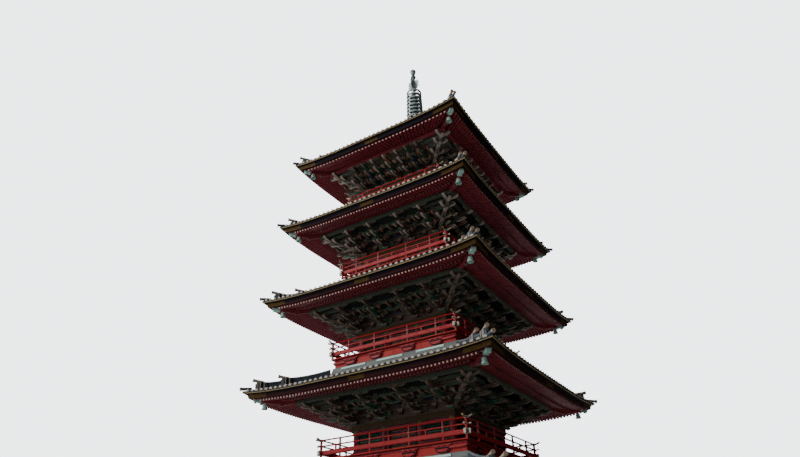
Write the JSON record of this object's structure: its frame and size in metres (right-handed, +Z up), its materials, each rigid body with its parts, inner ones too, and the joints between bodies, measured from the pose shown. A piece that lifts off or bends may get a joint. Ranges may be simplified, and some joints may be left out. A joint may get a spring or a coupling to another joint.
{
  "type": "pagoda",
  "caption": "Timber pagoda with stacked hipped copper roofs on bracket tiers, railed balconies, a stone podium and a tall ringed finial.",
  "frame": {"origin": "on the ground under the finial, at the centre of the podium's underside", "axes": "+Z up, -Y towards the side with the steps, +X to the right seen from the steps"},
  "size_m": [14.4, 14.4, 36],
  "materials": {
    "dressed_stone": "dressed and weathered",
    "vermilion_lacquer": "vermilion lacquer, satin",
    "crimson_lacquer": "deep crimson lacquer, satin",
    "green_lattice": "green paint, matte",
    "painted_brackets": "painted in green, blue and gold",
    "copper_tile": "weathered copper, grey-blue",
    "finial_bronze": "green patina"
  },
  "bodies": {
    "root": {"podium": "dressed_stone", "stone_steps": "dressed_stone", "veranda": "vermilion_lacquer", "wooden_steps": "vermilion_lacquer", "veranda_railing": "vermilion_lacquer", "walls_1": "crimson_lacquer", "shutters_1": "green_lattice", "brackets_1": "painted_brackets", "rafters_1": "crimson_lacquer", "roof_1": "copper_tile", "waist_wall_2": "vermilion_lacquer", "balcony_2": "vermilion_lacquer", "railing_2": "vermilion_lacquer", "walls_2": "crimson_lacquer", "shutters_2": "green_lattice", "brackets_2": "painted_brackets", "rafters_2": "crimson_lacquer", "roof_2": "copper_tile", "waist_wall_3": "vermilion_lacquer", "balcony_3": "vermilion_lacquer", "railing_3": "vermilion_lacquer", "walls_3": "crimson_lacquer", "shutters_3": "green_lattice", "brackets_3": "painted_brackets", "rafters_3": "crimson_lacquer", "roof_3": "copper_tile", "waist_wall_4": "vermilion_lacquer", "balcony_4": "vermilion_lacquer", "railing_4": "vermilion_lacquer", "walls_4": "crimson_lacquer", "shutters_4": "green_lattice", "brackets_4": "painted_brackets", "rafters_4": "crimson_lacquer", "roof_4": "copper_tile", "waist_wall_5": "vermilion_lacquer", "balcony_5": "vermilion_lacquer", "railing_5": "vermilion_lacquer", "walls_5": "crimson_lacquer", "shutters_5": "green_lattice", "brackets_5": "painted_brackets", "rafters_5": "crimson_lacquer", "roof_5": "copper_tile", "dew_basin": "finial_bronze", "lotus_bowl": "finial_bronze", "ring_mast": "finial_bronze", "water_flame": "finial_bronze", "jewels": "finial_bronze"}
  },
  "joints": []
}
